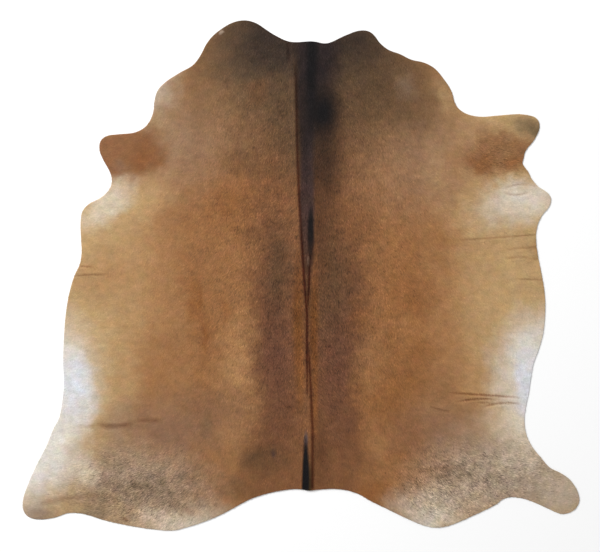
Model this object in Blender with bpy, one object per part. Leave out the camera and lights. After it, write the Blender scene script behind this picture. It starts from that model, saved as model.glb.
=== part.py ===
"""A whole cow hide with the hair on, laid flat with the hair side up.

Metres, +Z up. The hide lies on the plane Z = 0, and the origin is under the middle of its
bounding box. +Y runs from the tail to the neck, and +X to the right as seen from above.

The tables are in millimetres, as a tanner would chalk them on the skin: "across" is the distance
to the right of the backbone, and "along" the distance from the tail root towards the neck.
"""

import math
from collections import namedtuple

import bmesh
import bpy
import numpy as np
from mathutils import Vector
from mathutils.geometry import delaunay_2d_cdt

MM = 0.001

# Driving sizes
BACK_THICKNESS = 5.2 * MM  # leather and lying hair over the backbone
BELLY_THICKNESS = 4.0 * MM  # the same at the trimmed edge
BACK_HALF_WIDTH = 850 * MM  # the hide thins out over this distance from the backbone
HAIR_REACH = 2.0 * MM  # the hair lies this far past the cut edge of the leather
CROWN_INSET = 2.0 * MM  # the hair rounds the upper edge from this far inside the cut
SIDE_LEVEL = 0.45  # the hair's widest line, as a share of the thickness
CREST_ROUND = 1.2  # 2 would round a fold's crest fully, and 0 would leave it a sharp edge
END_FADE = 0.8  # a flank fold rises to its full height over this much of each half of its length

# Spacing of the faces
RIM_STEP = 23 * MM
RIM_ROW_INSET = 16 * MM
FOLD_STEP = 26 * MM
SPINE_STEP = 34 * MM
FIELD_STEP = 64 * MM
FOLD_GAP = 5 * MM  # points of the folds nearer together than this would make slivers
RIM_ROW_GAP = 11 * MM
FIELD_GAP = 33 * MM
CURVE_PARTS = 24  # fine parts of each stretch of outline, before it is evenly spaced

Place = namedtuple("Place", "across along")

# The trimmed outline, clockwise from the left shoulder
NECK = (
    Place(-656, 1440), Place(-632, 1464), Place(-614, 1506), Place(-608, 1556), Place(-596, 1594),
    Place(-566, 1626), Place(-508, 1664), Place(-456, 1694), Place(-426, 1732), Place(-402, 1778),
    Place(-372, 1815), Place(-300, 1863), Place(-248, 1873), Place(-204, 1862), Place(-164, 1836),
    Place(-124, 1811), Place(-68, 1787), Place(24, 1789), Place(78, 1781), Place(152, 1812),
    Place(204, 1831), Place(240, 1831), Place(264, 1818), Place(286, 1788), Place(324, 1756),
    Place(372, 1738), Place(416, 1716), Place(468, 1704), Place(510, 1681), Place(545, 1640),
    Place(574, 1596), Place(596, 1532), Place(632, 1502),
)
RIGHT_FORELEG = (
    Place(690, 1488), Place(770, 1493), Place(846, 1498), Place(896, 1491), Place(921, 1478),
    Place(929, 1448), Place(916, 1412), Place(893, 1378), Place(873, 1354), Place(865, 1322),
    Place(861, 1296), Place(880, 1275), Place(896, 1242), Place(924, 1208), Place(958, 1187),
    Place(975, 1160), Place(967, 1130), Place(940, 1096), Place(921, 1056),
)
RIGHT_FLANK = (
    Place(914, 1004), Place(921, 938), Place(936, 862), Place(948, 790), Place(951, 712),
    Place(943, 624), Place(926, 560), Place(904, 500), Place(894, 444), Place(886, 388),
    Place(874, 332), Place(868, 274), Place(876, 218), Place(900, 168),
)
RIGHT_HIND_LEG = (
    Place(934, 126), Place(970, 85), Place(1012, 64), Place(1048, 39), Place(1076, 0),
    Place(1088, -42), Place(1079, -70), Place(1050, -93), Place(1016, -98), Place(972, -81),
    Place(920, -57), Place(868, -38), Place(816, -31), Place(782, -40), Place(758, -59),
)
RUMP = (
    Place(696, -90), Place(624, -123), Place(568, -145), Place(512, -153), Place(458, -141),
    Place(390, -112), Place(312, -74), Place(254, -46), Place(206, -19), Place(160, -4),
    Place(100, 2), Place(36, -2), Place(6, -5), Place(-28, 1), Place(-76, -1),
    Place(-148, -14), Place(-222, -37), Place(-268, -60), Place(-326, -92), Place(-388, -120),
    Place(-462, -146), Place(-538, -164), Place(-610, -160),
)
LEFT_HIND_LEG = (
    Place(-706, -146), Place(-812, -123), Place(-878, -102), Place(-924, -94), Place(-964, -97),
    Place(-1002, -111), Place(-1066, -120), Place(-1112, -111), Place(-1133, -84),
    Place(-1134, -44), Place(-1116, 14), Place(-1082, 92), Place(-1040, 174), Place(-1014, 238),
    Place(-990, 284),
)
LEFT_FLANK = (
    Place(-977, 352), Place(-971, 424), Place(-974, 508), Place(-971, 596), Place(-966, 676),
    Place(-957, 744), Place(-944, 804), Place(-926, 860), Place(-908, 896), Place(-900, 942),
    Place(-902, 996),
)
LEFT_FORELEG = (
    Place(-904, 1068), Place(-896, 1112), Place(-870, 1140), Place(-828, 1162), Place(-792, 1194),
    Place(-779, 1232), Place(-787, 1268), Place(-812, 1314), Place(-829, 1358), Place(-823, 1394),
    Place(-800, 1411), Place(-748, 1418), Place(-692, 1424),
)
OUTLINE = NECK + RIGHT_FORELEG + RIGHT_FLANK + RIGHT_HIND_LEG + RUMP + LEFT_HIND_LEG + LEFT_FLANK
OUTLINE += LEFT_FORELEG

# The fold left by doubling the hide over, a low ridge that wanders beside the backbone: its
# crest, its height, and the widths of its left and right slopes
Crest = namedtuple("Crest", "along across height left right")
SPINE_FOLD = (
    Crest(-10, 20, 5.0, 26, 22),
    Crest(156, 18, 6.5, 34, 26),
    Crest(276, 10, 7.0, 44, 36),
    Crest(436, 4, 8.0, 46, 42),
    Crest(756, 0, 8.0, 44, 34),
    Crest(996, -22, 8.0, 44, 24),
    Crest(1276, -32, 8.5, 44, 20),
    Crest(1436, -38, 8.5, 46, 20),
    Crest(1616, -46, 7.5, 50, 24),
    Crest(1800, -68, 4.5, 52, 30),
)

# Folds where the skin of the flanks and legs gathers: each runs from a start to an end, bowed
# to its left by "bow" in the middle
Fold = namedtuple("Fold", "start end bow height half_width")
FLANK_FOLDS = (
    Fold(Place(925, 1020), Place(600, 1000), 6, 6.5, 17),  # right armpit, the long one
    Fold(Place(925, 974), Place(785, 954), 4, 6.0, 18),
    Fold(Place(935, 926), Place(795, 922), -3, 5.0, 18),
    Fold(Place(945, 842), Place(795, 849), -4, 4.5, 20),
    Fold(Place(-912, 924), Place(-832, 926), 2, 5.0, 14),  # left armpit
    Fold(Place(-918, 892), Place(-815, 889), -3, 6.0, 15),
    Fold(Place(-930, 858), Place(-760, 866), 4, 5.0, 15),
    Fold(Place(-910, 970), Place(-700, 980), 3, 3.0, 18),
    Fold(Place(892, 362), Place(556, 386), 6, 8.0, 15),  # right stifle
    Fold(Place(752, 366), Place(572, 342), 5, 6.0, 12),
    Fold(Place(850, 352), Place(686, 322), 5, 6.5, 14),
    Fold(Place(580, 310), Place(486, 334), -3, 3.5, 14),
    Fold(Place(-668, 263), Place(-850, 258), -3, 7.5, 18),  # left stifle
    Fold(Place(-580, 281), Place(-690, 281), 0, 4.5, 13),
    Fold(Place(-820, 258), Place(-915, 252), 0, 3.5, 18),
    Fold(Place(-1100, -66), Place(-815, -26), 14, 6.0, 34),  # left hind leg
    Fold(Place(1072, -14), Place(930, 10), 6, 5.5, 30),  # right hind leg
    Fold(Place(-914, 676), Place(-890, 540), 4, 3.0, 16),  # belly edge
    Fold(Place(786, 1198), Place(905, 1172), -10, 4.0, 18),
)


def smooth_loop(places):
    """A closed centripetal curve through the places, as fine points in millimetres."""
    knots = [np.array(p, float) for p in places]
    count = len(knots)
    fine = []
    for i in range(count):
        p0, p1, p2, p3 = (knots[(i + k) % count] for k in (-1, 0, 1, 2))
        t1 = math.sqrt(np.linalg.norm(p1 - p0))
        t2 = t1 + math.sqrt(np.linalg.norm(p2 - p1))
        t3 = t2 + math.sqrt(np.linalg.norm(p3 - p2))
        for t in np.linspace(t1, t2, CURVE_PARTS, endpoint=False):
            a1 = p0 * (t1 - t) / t1 + p1 * t / t1
            a2 = p1 * (t2 - t) / (t2 - t1) + p2 * (t - t1) / (t2 - t1)
            a3 = p2 * (t3 - t) / (t3 - t2) + p3 * (t - t2) / (t3 - t2)
            b1 = a1 * (t2 - t) / t2 + a2 * t / t2
            b2 = a2 * (t3 - t) / (t3 - t1) + a3 * (t - t1) / (t3 - t1)
            fine.append(b1 * (t2 - t) / (t2 - t1) + b2 * (t - t1) / (t2 - t1))
    return np.array(fine)


def evenly_spaced(loop, step):
    """The closed loop again, with points about one step apart."""
    closed = np.vstack([loop, loop[:1]])
    run = np.concatenate([[0], np.cumsum(np.linalg.norm(np.diff(closed, axis=0), axis=1))])
    count = round(run[-1] / step)
    at = np.linspace(0, run[-1], count, endpoint=False)
    return np.column_stack([np.interp(at, run, closed[:, k]) for k in (0, 1)])


def inward(loop):
    """Unit vectors that point into the hide, one for each point of a clockwise loop."""
    ahead = np.roll(loop, -1, axis=0) - np.roll(loop, 1, axis=0)
    ahead /= np.linalg.norm(ahead, axis=1)[:, None]
    return np.column_stack([ahead[:, 1], -ahead[:, 0]])


def inside(loop, points):
    """Which points the closed loop holds, by counting crossings of a ray along +X."""
    held = np.zeros(len(points), bool)
    for (x1, y1), (x2, y2) in zip(loop, np.roll(loop, -1, axis=0)):
        spans = (y1 > points[:, 1]) != (y2 > points[:, 1])
        if y1 != y2:
            cross = x1 + (points[:, 1] - y1) * (x2 - x1) / (y2 - y1)
            held ^= spans & (points[:, 0] < cross)
    return held


def ease(share):
    """Rises smoothly from 0 to 1 as the share does, and stays there."""
    share = np.clip(share, 0, 1)
    return share * share * (3 - 2 * share)


def hump(offset, left, right):
    """A ridge across a fold: 1 at its slightly sharp crest, 0 at its left and right feet."""
    share = np.clip(np.abs(offset) / np.where(offset < 0, left, right), 0, 1)
    return (1 - share) ** 2 * (1 + CREST_ROUND * share)


def fold_line(fold):
    """A fold's start, its unit direction, its unit normal and its length, in metres."""
    start = np.array(fold.start, float) * MM
    run = np.array(fold.end, float) * MM - start
    length = np.linalg.norm(run)
    run /= length
    return start, run, np.array([-run[1], run[0]]), length


def bow_at(fold, share):
    """How far the crest is bowed sideways at a share of the fold's length."""
    return 4 * share * (1 - share) * fold.bow * MM


def fold_lift(points, fold):
    """How far one flank fold lifts the skin at these points of the hide."""
    start, run, side, length = fold_line(fold)
    share = (points - start) @ run / length
    offset = (points - start) @ side - bow_at(fold, share)
    half = fold.half_width * MM
    fade = ease((1 - np.abs(2 * share - 1)) / END_FADE)
    return fold.height * MM * fade * hump(offset, half, half)


def spine_rows(y):
    """The long fold's crest, height, left width and right width at these distances along."""
    columns = [np.array(column, float) * MM for column in zip(*SPINE_FOLD)]
    return [np.interp(y, columns[0], column) for column in columns[1:]]


def spine_lift(points):
    """How far the long fold beside the backbone lifts the skin."""
    crest, height, left, right = spine_rows(points[:, 1])
    return height * hump(points[:, 0] - crest, left, right)


def lift(points):
    """The height of the hide's underside over the floor: 0 but for its folds."""
    total = spine_lift(points)
    for fold in FLANK_FOLDS:
        total = np.maximum(total, fold_lift(points, fold))
    return total


def thickness(points):
    """Leather and hair, thickest over the backbone."""
    thinning = ease(np.abs(points[:, 0]) / BACK_HALF_WIDTH)
    return BACK_THICKNESS + (BELLY_THICKNESS - BACK_THICKNESS) * thinning


def fold_points():
    """Rows of points along each fold: on its crest, half way down and at its feet."""
    rows = []
    for fold in FLANK_FOLDS:
        start, run, side, length = fold_line(fold)
        share = np.linspace(0, 1, max(3, round(length / FOLD_STEP)))
        crest = start + np.outer(share * length, run) + np.outer(bow_at(fold, share), side)
        rows += [crest + row * fold.half_width * MM * side for row in (0, -0.5, 0.5, -1, 1)]
    return rows


def spine_points():
    """Rows of points along the fold beside the backbone, from its crest out to its feet."""
    y = np.arange(SPINE_FOLD[0].along * MM, SPINE_FOLD[-1].along * MM, SPINE_STEP)
    crest, _, left, right = spine_rows(y)
    rows = []
    for row in (0, -0.22, 0.3, -0.55, 0.65, -1, 1):
        rows.append(np.column_stack([crest + row * (left if row < 0 else right), y]))
    return rows


def field_points(loop):
    """A triangular lattice of points over the whole hide."""
    low, high = loop.min(axis=0), loop.max(axis=0)
    rise = FIELD_STEP * math.sqrt(3) / 2
    rows = []
    for n, y in enumerate(np.arange(low[1], high[1], rise)):
        x = np.arange(low[0] + (n % 2) * FIELD_STEP / 2, high[0], FIELD_STEP)
        rows.append(np.column_stack([x, np.full(len(x), y)]))
    return rows


def kept_points(loop, rows, gaps):
    """The rows' points inside the loop, each clear of the loop and of those before it."""
    kept = loop
    for row, gap in zip(rows, gaps):
        for point in row[inside(loop, row)]:
            if (np.linalg.norm(kept - point, axis=1) > gap).all():
                kept = np.vstack([kept, point])
    return kept[len(loop):]


def laid_out_points(loop):
    """All points inside the outline: its inner row, the folds and then the open field."""
    rim_row = loop + inward(loop) * RIM_ROW_INSET
    folds = fold_points()
    spine = spine_points()
    field = field_points(loop)
    rows = folds + spine + [rim_row] + field
    gaps = [FOLD_GAP] * len(folds + spine) + [RIM_ROW_GAP] + [FIELD_GAP] * len(field)
    return kept_points(loop, rows, gaps)


def triangles_over(loop, points):
    """Triangles that cover the outline, as vertex numbers: the loop's first, then the points."""
    both = np.vstack([loop, points])
    ring = [(i, (i + 1) % len(loop)) for i in range(len(loop))]
    laid, _, faces, origin, _, _ = delaunay_2d_cdt(
        [Vector(p) for p in both], ring, [list(range(len(loop)))], 1, 1e-7
    )
    if len(laid) != len(both):
        raise ValueError("the outline crosses itself")
    number = [sources[0] for sources in origin]
    return [[number[v] for v in face] for face in faces]


def sheet_mesh(loop, points):
    """The closed skin: an underside, an edge where the hair rounds over the cut, and a top."""
    skin = bmesh.new()
    lift_in = lift(points)
    thick_in = thickness(points)
    into = inward(loop)
    lift_rim = lift(loop)
    thick_rim = thickness(loop)
    middle = (loop.min(axis=0) + loop.max(axis=0)) / 2

    def vertices(places, heights):
        return [skin.verts.new((x, y, z)) for (x, y), z in zip(places - middle, heights)]

    foot = vertices(loop, lift_rim)
    side = vertices(loop - into * HAIR_REACH, lift_rim + SIDE_LEVEL * thick_rim)
    crown = vertices(loop + into * CROWN_INSET, lift_rim + thick_rim)
    below = foot + vertices(points, lift_in)
    above = crown + vertices(points, lift_in + thick_in)
    for a, b, c in triangles_over(loop, points):
        skin.faces.new((above[a], above[b], above[c]))
        skin.faces.new((below[c], below[b], below[a]))
    for lower, upper in ((foot, side), (side, crown)):
        for i in range(len(loop)):
            j = (i + 1) % len(loop)
            skin.faces.new((lower[j], lower[i], upper[i], upper[j]))
    bmesh.ops.recalc_face_normals(skin, faces=skin.faces)
    mesh = bpy.data.meshes.new("hide")
    skin.to_mesh(mesh)
    skin.free()
    return mesh


def coat_material():
    """Caramel hair with a soft sheen."""
    material = bpy.data.materials.new("caramel_hair")
    material.use_nodes = True
    shader = material.node_tree.nodes["Principled BSDF"]
    shader.inputs["Base Color"].default_value = (0.36, 0.19, 0.085, 1)
    shader.inputs["Roughness"].default_value = 0.7
    shader.inputs["Metallic"].default_value = 0.0
    return material


def make_hide():
    """The whole hide as one object."""
    loop = evenly_spaced(smooth_loop(OUTLINE) * MM, RIM_STEP)
    mesh = sheet_mesh(loop, laid_out_points(loop))
    mesh.materials.append(coat_material())
    mesh.shade_smooth()
    mesh.set_sharp_from_angle(angle=math.radians(50))
    hide = bpy.data.objects.new("hide", mesh)
    bpy.context.scene.collection.objects.link(hide)
    return hide


def main():
    for obj in list(bpy.data.objects):
        bpy.data.objects.remove(obj)
    make_hide()


main()
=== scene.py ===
"""A whole cow hide with the hair on, laid flat on a pale floor and seen from straight above.

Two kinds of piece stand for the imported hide: the skin, with its folds and creases, and four
quarters of short lying hair that grow on it. Tables are in millimetres, as a tanner would chalk
them on the skin: "across" is the distance to the right of the backbone, and "along" the distance
from the tail root towards the neck. Everything else is in metres, +Z up.
"""

import math
from collections import namedtuple

import bmesh
import bpy
import numpy as np
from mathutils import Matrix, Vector
from mathutils.bvhtree import BVHTree
from mathutils.geometry import delaunay_2d_cdt
from mathutils.kdtree import KDTree


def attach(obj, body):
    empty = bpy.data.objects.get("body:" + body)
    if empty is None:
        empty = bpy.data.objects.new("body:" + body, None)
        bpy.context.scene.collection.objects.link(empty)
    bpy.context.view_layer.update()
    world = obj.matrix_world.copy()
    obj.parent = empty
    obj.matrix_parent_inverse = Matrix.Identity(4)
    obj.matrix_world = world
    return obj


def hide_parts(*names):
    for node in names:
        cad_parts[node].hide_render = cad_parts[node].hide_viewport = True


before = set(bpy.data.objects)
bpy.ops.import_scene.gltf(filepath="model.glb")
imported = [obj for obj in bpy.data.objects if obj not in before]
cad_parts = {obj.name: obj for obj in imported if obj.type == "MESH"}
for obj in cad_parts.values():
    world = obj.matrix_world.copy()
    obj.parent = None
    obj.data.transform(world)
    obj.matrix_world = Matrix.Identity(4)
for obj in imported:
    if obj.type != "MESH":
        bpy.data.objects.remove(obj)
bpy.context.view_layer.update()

MM = 0.001
BACKBONE_X = 24.5 * MM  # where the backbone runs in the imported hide's frame
TAIL_ROOT_Y = -854.07 * MM

Place = namedtuple("Place", "across along")

# The skin
HAIR_REACH = 2.0 * MM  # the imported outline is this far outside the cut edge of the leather
HAIR_DEPTH = 0.9 * MM  # the lying hair on top of the skin
RIM_STEP = 7 * MM
FIELD_STEP = 12 * MM
CREASE_STEP = 8 * MM
CREASE_GAP = 2.2 * MM  # points nearer together than this would make slivers
FIELD_GAP = 6.5 * MM
CREASE_INSET = 6 * MM  # the creases' points stay this far inside the cut
FIELD_INSET = 8 * MM
CREASE_ROWS = (0, -1, 1, -3, 3)  # rows of points along a crease, in half widths from its bottom
LINE_ROWS = (0, -5, 5, -10, 10)  # and along the long fold's lines, in millimetres
CREASE_RUNOUT = 0.6  # the share of each half of a crease over which it dies out
SAME_POINT = 0.01 * MM
RIM_HEIGHT_INSET = 5 * MM  # the rim takes its height from this far inside the cut
SMOOTHING_ROUNDS = 10
FOLD_FOOT = 0.3 * MM  # a fold starts where the underside is this far off the floor
FOLD_RISE = 1.2 * MM  # and is at its firmest this much higher
FOLD_FIRMNESS = 0.75  # how little the smoothing changes a fold
RIPPLE = 0.45  # height of the broad waves, in millimetres
RIPPLE_RIM = 60 * MM  # the waves grow from nothing at the cut to their full height here
THINNEST = 1.2 * MM
FINE_STEP = 1.5 * MM  # spacing of the outline's points for measuring distances

# The rim's section, from the foot of the cut to where the back of the skin starts: how far
# outside the cut, and which share of the thickness
RimRow = namedtuple("RimRow", "out level")
RIM_ROWS = (
    RimRow(0.0 * MM, 0.0), RimRow(0.9 * MM, 0.22), RimRow(1.2 * MM, 0.48),
    RimRow(0.7 * MM, 0.76), RimRow(-0.8 * MM, 0.94), RimRow(-2.6 * MM, 1.0),
)

# Creases pressed into the folds: a groove beside a fold's crest, bowed to its left by "bow" in
# the middle, with the depth and half width of the groove and how much painted shade darkens the
# hair in it
Crease = namedtuple("Crease", "start end bow depth half_width shade")
CREASES = (
    Crease(Place(560, 992), Place(990, 1022), 0, 2.2, 7, 0.34),  # right armpit
    Crease(Place(770, 954), Place(980, 968), 4, 2.0, 9, 0.24),
    Crease(Place(780, 922), Place(900, 926), 3, 1.6, 7, 0.26),
    Crease(Place(880, 920), Place(980, 916), 3, 1.6, 7, 0.28),
    Crease(Place(820, 840), Place(990, 832), 2, 1.6, 6, 0.3),
    Crease(Place(-960, 892), Place(-830, 886), 2, 1.8, 6, 0.34),  # left armpit
    Crease(Place(-960, 850), Place(-790, 858), 3, 1.8, 7, 0.3),
    Crease(Place(540, 388), Place(890, 364), 0, 2.8, 7, 0.62),  # right stifle
    Crease(Place(585, 346), Place(765, 360), 7, 2.4, 6, 0.6),
    Crease(Place(670, 346), Place(740, 346), 0, 1.4, 5, 0.35),
    Crease(Place(680, 320), Place(875, 336), 16, 2.4, 7, 0.52),
    Crease(Place(480, 336), Place(590, 308), -4, 1.4, 6, 0.34),
    Crease(Place(-860, 262), Place(-670, 270), -14, 2.4, 20, 0.42),  # left stifle
    Crease(Place(-690, 276), Place(-570, 276), -2, 1.6, 14, 0.34),
    Crease(Place(-930, 252), Place(-830, 254), -2, 1.0, 12, 0.22),
    Crease(Place(-1120, -74), Place(-740, -26), 18, 1.6, 20, 0.26),  # left hind leg
    Crease(Place(-740, -112), Place(-710, -130), 0, 1.0, 12, 0.5),
    Crease(Place(770, 1192), Place(906, 1212), 15, 1.4, 7, 0.3),  # pouch of the armpit
    Crease(Place(774, 1188), Place(906, 1196), -15, 1.6, 8, 0.34),
    Crease(Place(-80, 1820), Place(-70, 1680), 0, 1.2, 14, 0.6),  # neck
    Crease(Place(410, 62), Place(660, 84), 10, 1.0, 24, 0.26),  # right rump
)

# Two lines of painted shade along the crest of the long fold, where the hide was doubled over;
# they also press a shallow groove into the skin
Line = namedtuple("Line", "along across half_width shade")
LEFT_LINE = (
    Line(380, 1, 7, 0.7), Line(516, 0, 9, 1.0), Line(696, 0, 9, 1.0), Line(756, -5, 9, 1.0),
    Line(848, -12, 10, 1.0), Line(968, -19, 10, 1.0), Line(1056, -24, 10, 0.85),
    Line(1156, -31, 10, 0.9), Line(1356, -39, 10, 0.9), Line(1616, -43, 10, 0.75),
    Line(1700, -46, 9, 0.2),
)
RIGHT_LINE = (
    Line(0, 22, 13, 0.85), Line(120, 22, 12, 0.8), Line(236, 22, 11, 0.8),
    Line(388, 16, 10, 0.8), Line(516, 9, 9, 0.85), Line(600, 3, 6, 0.4), Line(696, 1, 6, 0.5),
    Line(756, 4, 8, 0.95), Line(816, 8, 8, 1.0), Line(936, 12, 9, 0.8),
)
LINE_GROOVE = 1.6 * MM

# The coat: each lock is a slim closed wedge of hair that lies on the skin
LOCKS_A_QUARTER = 49000
LOCK_LENGTH = 14 * MM
LOCK_WIDTH = 2.5 * MM
LOCK_LENGTH_SPREAD = 0.25
SHORTEST_LOCK = 3 * MM
WIDTH_RANGE = (0.8, 1.2)  # single locks' widths, as shares of the width above
LOCK_LIFT = 0.9 * MM  # a lock's tip over the skin
LIFT_RANGE = (0.6, 1.2)
SHOULDER_LIFT = 0.06 * MM  # its two sides over the skin
ROOT_DEPTH = 0.15 * MM
SHOULDER_AT = 0.38  # where a lock is widest, as a share of its length
OVERHANG = 3.0 * MM  # the hair reaches at most this far past the cut
OVERHANG_RANGE = (0.2, 1)
LATTICE_SLACK = 1.002  # the lattice of roots is this much wider than the number of locks asks
ROOT_SHAKE = 0.42  # how far a root strays from its place in the lattice, in shares of its pitch
ROOT_INSET = 0.6 * MM  # no lock grows nearer to the cut
LOCK_ROUNDNESS = 0.38  # how far a lock's two sides face outward, for its shading
STRAND_RANGE = 60  # the locks' streaks start anywhere in this range of the noise
STRAND_SPAN = 1.6  # and a lock's sides are this far from its middle in it
SEED = 7
MAP_SHARE = 0.98  # the coat's flat map fills this share of its square
MAP_MARGIN = 0.01
GRID_STEP = 4 * MM  # spacing of the grid of the skin's heights
GRID_MARGIN = 10 * MM
SWIRL = 14  # degrees by which broad waves turn the hair
STRAY = 9  # degrees by which single locks turn away from their neighbours
COMB_REACH = 60  # a comb's pull levels off this near to it, in millimetres
PARTING = 25  # the hair turns over from one side to the other this near to the backbone

# How the hair lies: "turn" is degrees from straight back towards the hide's edge, on both sides
Comb = namedtuple("Comb", "across along turn")
LIE_OF_THE_HAIR = (
    Comb(0, 1850, 0), Comb(260, 1800, 10), Comb(450, 1650, 22), Comb(560, 1560, 32),
    Comb(0, 1300, 2), Comb(300, 1300, 15), Comb(600, 1350, 38), Comb(760, 1340, 78),
    Comb(900, 1420, 92), Comb(820, 1180, 66), Comb(950, 1150, 76), Comb(0, 800, 2),
    Comb(300, 800, 18), Comb(600, 800, 30), Comb(850, 800, 44), Comb(950, 700, 50),
    Comb(300, 400, 14), Comb(600, 400, 27), Comb(850, 420, 42), Comb(970, 450, 48),
    Comb(0, 60, 0), Comb(300, 40, 34), Comb(600, 20, 66), Comb(540, -130, 60),
    Comb(860, 90, 76), Comb(1080, -50, 82), Comb(1000, 230, 66), Comb(600, 230, 48),
)

# Hair colours, as 8-bit sRGB, and the colour of one painted highlight
HAIR = {
    "soot": (19, 16, 17),
    "pitch": (41, 31, 30),
    "dusk": (67, 49, 46),
    "umber": (54, 41, 33),
    "peat": (60, 40, 27),
    "bark": (86, 63, 42),
    "chestnut": (100, 64, 40),
    "plum": (105, 68, 49),
    "walnut": (126, 84, 53),
    "rust": (138, 86, 44),
    "copper": (116, 70, 32),
    "olive": (62, 45, 24),
    # not a hair colour: a painted bluish highlight for the black hair above the tail
    "blue_highlight": (92, 86, 95),
    "russet": (137, 94, 61),
    "caramel": (149, 103, 64),
    "clay": (138, 103, 78),
    "honey": (167, 123, 81),
    "sand": (186, 153, 108),
    "oat": (184, 165, 143),
    "cream": (210, 192, 168),
    "milk": (220, 213, 202),
    "frost": (218, 219, 226),
    "ash": (151, 127, 105),
    "dove": (163, 142, 121),
    "smoke": (107, 87, 63),
}

# The coat's colour at some distances from the backbone
Stripe = namedtuple("Stripe", "across hair")
BACK_TO_BELLY = (
    Stripe(60, "walnut"), Stripe(180, "walnut"), Stripe(300, "caramel"), Stripe(440, "caramel"),
    Stripe(600, "honey"), Stripe(820, "sand"), Stripe(1100, "sand"),
)

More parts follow.
